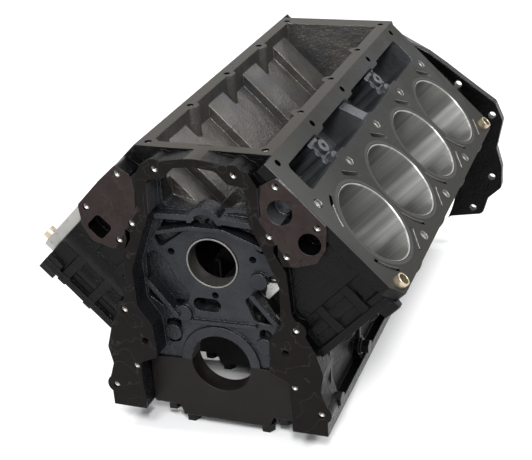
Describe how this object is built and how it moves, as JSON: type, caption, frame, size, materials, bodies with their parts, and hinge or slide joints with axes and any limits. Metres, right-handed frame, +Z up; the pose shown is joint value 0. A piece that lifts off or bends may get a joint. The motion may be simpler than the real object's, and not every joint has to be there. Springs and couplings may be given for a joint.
{
  "type": "engine block",
  "caption": "Bare cast-iron V engine block with main caps, bored cylinders, open valley, timing chest and bell-housing flange.",
  "frame": {"origin": "on the crank axis, in the middle of the centre main bearing", "axes": "+Y along the crank towards the gearbox end, +Z up, +X towards the bank that sits forward"},
  "size_m": [0.444, 0.557, 0.3423],
  "materials": {
    "bearing_metal": "worn grey bearing metal",
    "dowel_steel": "bright steel with a warm tarnish",
    "iron_cap": "machined iron, dull and oily",
    "iron_casting": "cast iron under gloss black paint, machined faces bare",
    "plug_brass": "dull brass",
    "plug_steel": "steel plug under black paint",
    "steel_bolt": "phosphated steel"
  },
  "bodies": {
    "root": {"bell_dowel_left": "dowel_steel", "bell_dowel_right": "dowel_steel", "block_casting": "iron_casting", "cam_bearing_1": "bearing_metal", "cam_bearing_2": "bearing_metal", "cam_bearing_3": "bearing_metal", "cam_bearing_4": "bearing_metal", "cam_bearing_5": "bearing_metal", "core_plug_left_back": "plug_brass", "core_plug_left_front": "plug_brass", "core_plug_left_rear": "plug_brass", "core_plug_right_back": "plug_brass", "core_plug_right_front": "plug_brass", "core_plug_right_rear": "plug_brass", "drain_plug_left": "plug_steel", "drain_plug_right": "plug_steel", "head_dowel_left_front": "dowel_steel", "head_dowel_left_rear": "dowel_steel", "head_dowel_right_front": "dowel_steel", "head_dowel_right_rear": "dowel_steel", "main_cap_1": "iron_cap", "main_cap_2": "iron_cap", "main_cap_3": "iron_cap", "main_cap_4": "iron_cap", "main_cap_5": "iron_cap", "main_cap_inner_bolts": "steel_bolt", "main_cap_outer_bolts": "steel_bolt", "main_cap_side_bolts": "steel_bolt", "oil_gallery_plug_front": "plug_steel", "oil_gallery_plug_rear": "plug_steel"}
  },
  "joints": []
}
